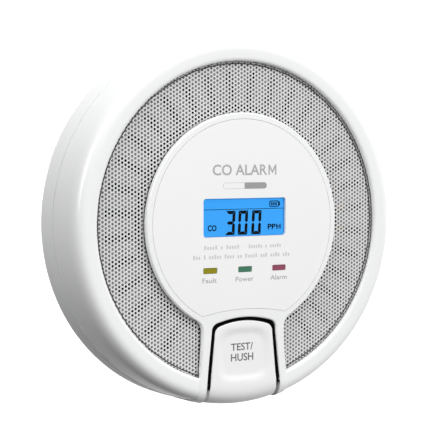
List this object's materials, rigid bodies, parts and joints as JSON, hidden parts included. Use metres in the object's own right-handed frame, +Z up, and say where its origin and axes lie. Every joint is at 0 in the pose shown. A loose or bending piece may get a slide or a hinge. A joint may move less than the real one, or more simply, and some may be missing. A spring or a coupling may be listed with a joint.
{
  "type": "carbon monoxide detector",
  "caption": "Round wall-mounted carbon monoxide alarm with lit digital display, status windows, ring grille and a hinged test key, on a twist-on bracket.",
  "frame": {"origin": "centre of the wall bracket's back face, on the wall plane", "axes": "+Y into the wall, so the face looks along -Y; +Z up as mounted; +X to the right seen from the front"},
  "size_m": [0.1116, 0.0266, 0.1116],
  "materials": {
    "bracket_white": "moulded, matt",
    "case_white": "satin moulded ABS",
    "cover_white": "satin moulded ABS",
    "grille_metal": "perforated sheet, silver white",
    "overlay_film": "printed polycarbonate film",
    "window_clear": "clear moulding",
    "lens_amber": "tinted lens",
    "lens_green": "tinted lens",
    "lens_red": "tinted lens",
    "lcd_glass": "lit display glass, blue, black digits",
    "backlight_diffuser": "diffuser",
    "holder_black": "moulded",
    "zebra_rubber": "conductive strip",
    "board_green": "solder mask on glass laminate",
    "led_body": "moulded",
    "chip_black": "moulded",
    "plated_can": "nickel plated",
    "coil_ferrite": "sintered",
    "capacitor_sleeve": "shrink sleeve",
    "sensor_cap": "moulded",
    "sounder_plastic": "moulded",
    "piezo_brass": "plain",
    "plunger_plastic": "moulded",
    "cell_wrap": "shrink wrap",
    "slider_red": "moulded",
    "screw_steel": "zinc plated",
    "button_white": "satin moulded ABS",
    "pin_steel": "plain",
    "label_grey": "blank foil label"
  },
  "bodies": {
    "bracket": {"mounting_bracket": "bracket_white"},
    "case": {"rear_case": "case_white", "front_cover": "cover_white", "speaker_grille": "grille_metal", "face_overlay": "overlay_film", "display_window": "window_clear", "led_lens_fault": "lens_amber", "led_lens_power": "lens_green", "led_lens_alarm": "lens_red", "lcd_panel": "lcd_glass", "lcd_backlight": "backlight_diffuser", "lcd_holder": "holder_black", "zebra_strip": "zebra_rubber", "circuit_board": "board_green", "led_fault": "led_body", "led_power": "led_body", "led_alarm": "led_body", "light_block": "holder_black", "switch_body": "chip_black", "microcontroller": "chip_black", "crystal": "plated_can", "boost_coil": "coil_ferrite", "capacitor_1": "capacitor_sleeve", "capacitor_2": "capacitor_sleeve", "co_sensor_body": "plated_can", "co_sensor_cap": "sensor_cap", "sounder_housing": "sounder_plastic", "piezo_disc": "piezo_brass", "battery_cell": "cell_wrap", "battery_cap": "plated_can", "battery_contact_positive": "plated_can", "battery_contact_negative": "plated_can", "case_screw_1": "screw_steel", "case_screw_2": "screw_steel", "case_screw_3": "screw_steel", "case_screw_4": "screw_steel", "board_screw_1": "screw_steel", "board_screw_2": "screw_steel", "board_screw_3": "screw_steel", "button_hinge_pin": "pin_steel", "power_switch_body": "plated_can", "rear_label": "label_grey"},
    "test_button": {"test_button": "button_white"},
    "switch_plunger": {"switch_plunger": "plunger_plastic"},
    "power_slider": {"power_slider": "slider_red", "power_switch_knob": "holder_black"}
  },
  "joints": [
    {"name": "case_twist", "type": "hinge", "parent": "bracket", "child": "case", "pos_m": [0, 0, 0], "axis": [0, -1, 0], "range_deg": [0, 12]},
    {"name": "button_press", "type": "hinge", "parent": "case", "child": "test_button", "pos_m": [0, -0.0195, -0.0465], "axis": [-1, 0, 0], "range_deg": [0, 3], "stiffness_Nm_per_rad": 0.6, "springref_deg": -1.15},
    {"name": "plunger_press", "type": "slide", "parent": "case", "child": "switch_plunger", "axis": [0, 1, 0], "range_m": [0, 0.0005]},
    {"name": "power_slide", "type": "slide", "parent": "case", "child": "power_slider", "axis": [0, 0, 1], "range_m": [0, 0.0073]}
  ],
  "couplings": [
    {"joint": "plunger_press", "follows": "button_press", "m_per_rad": 0.0085},
    {"joint": "power_slide", "follows": "case_twist", "m_per_rad": 0.034}
  ]
}
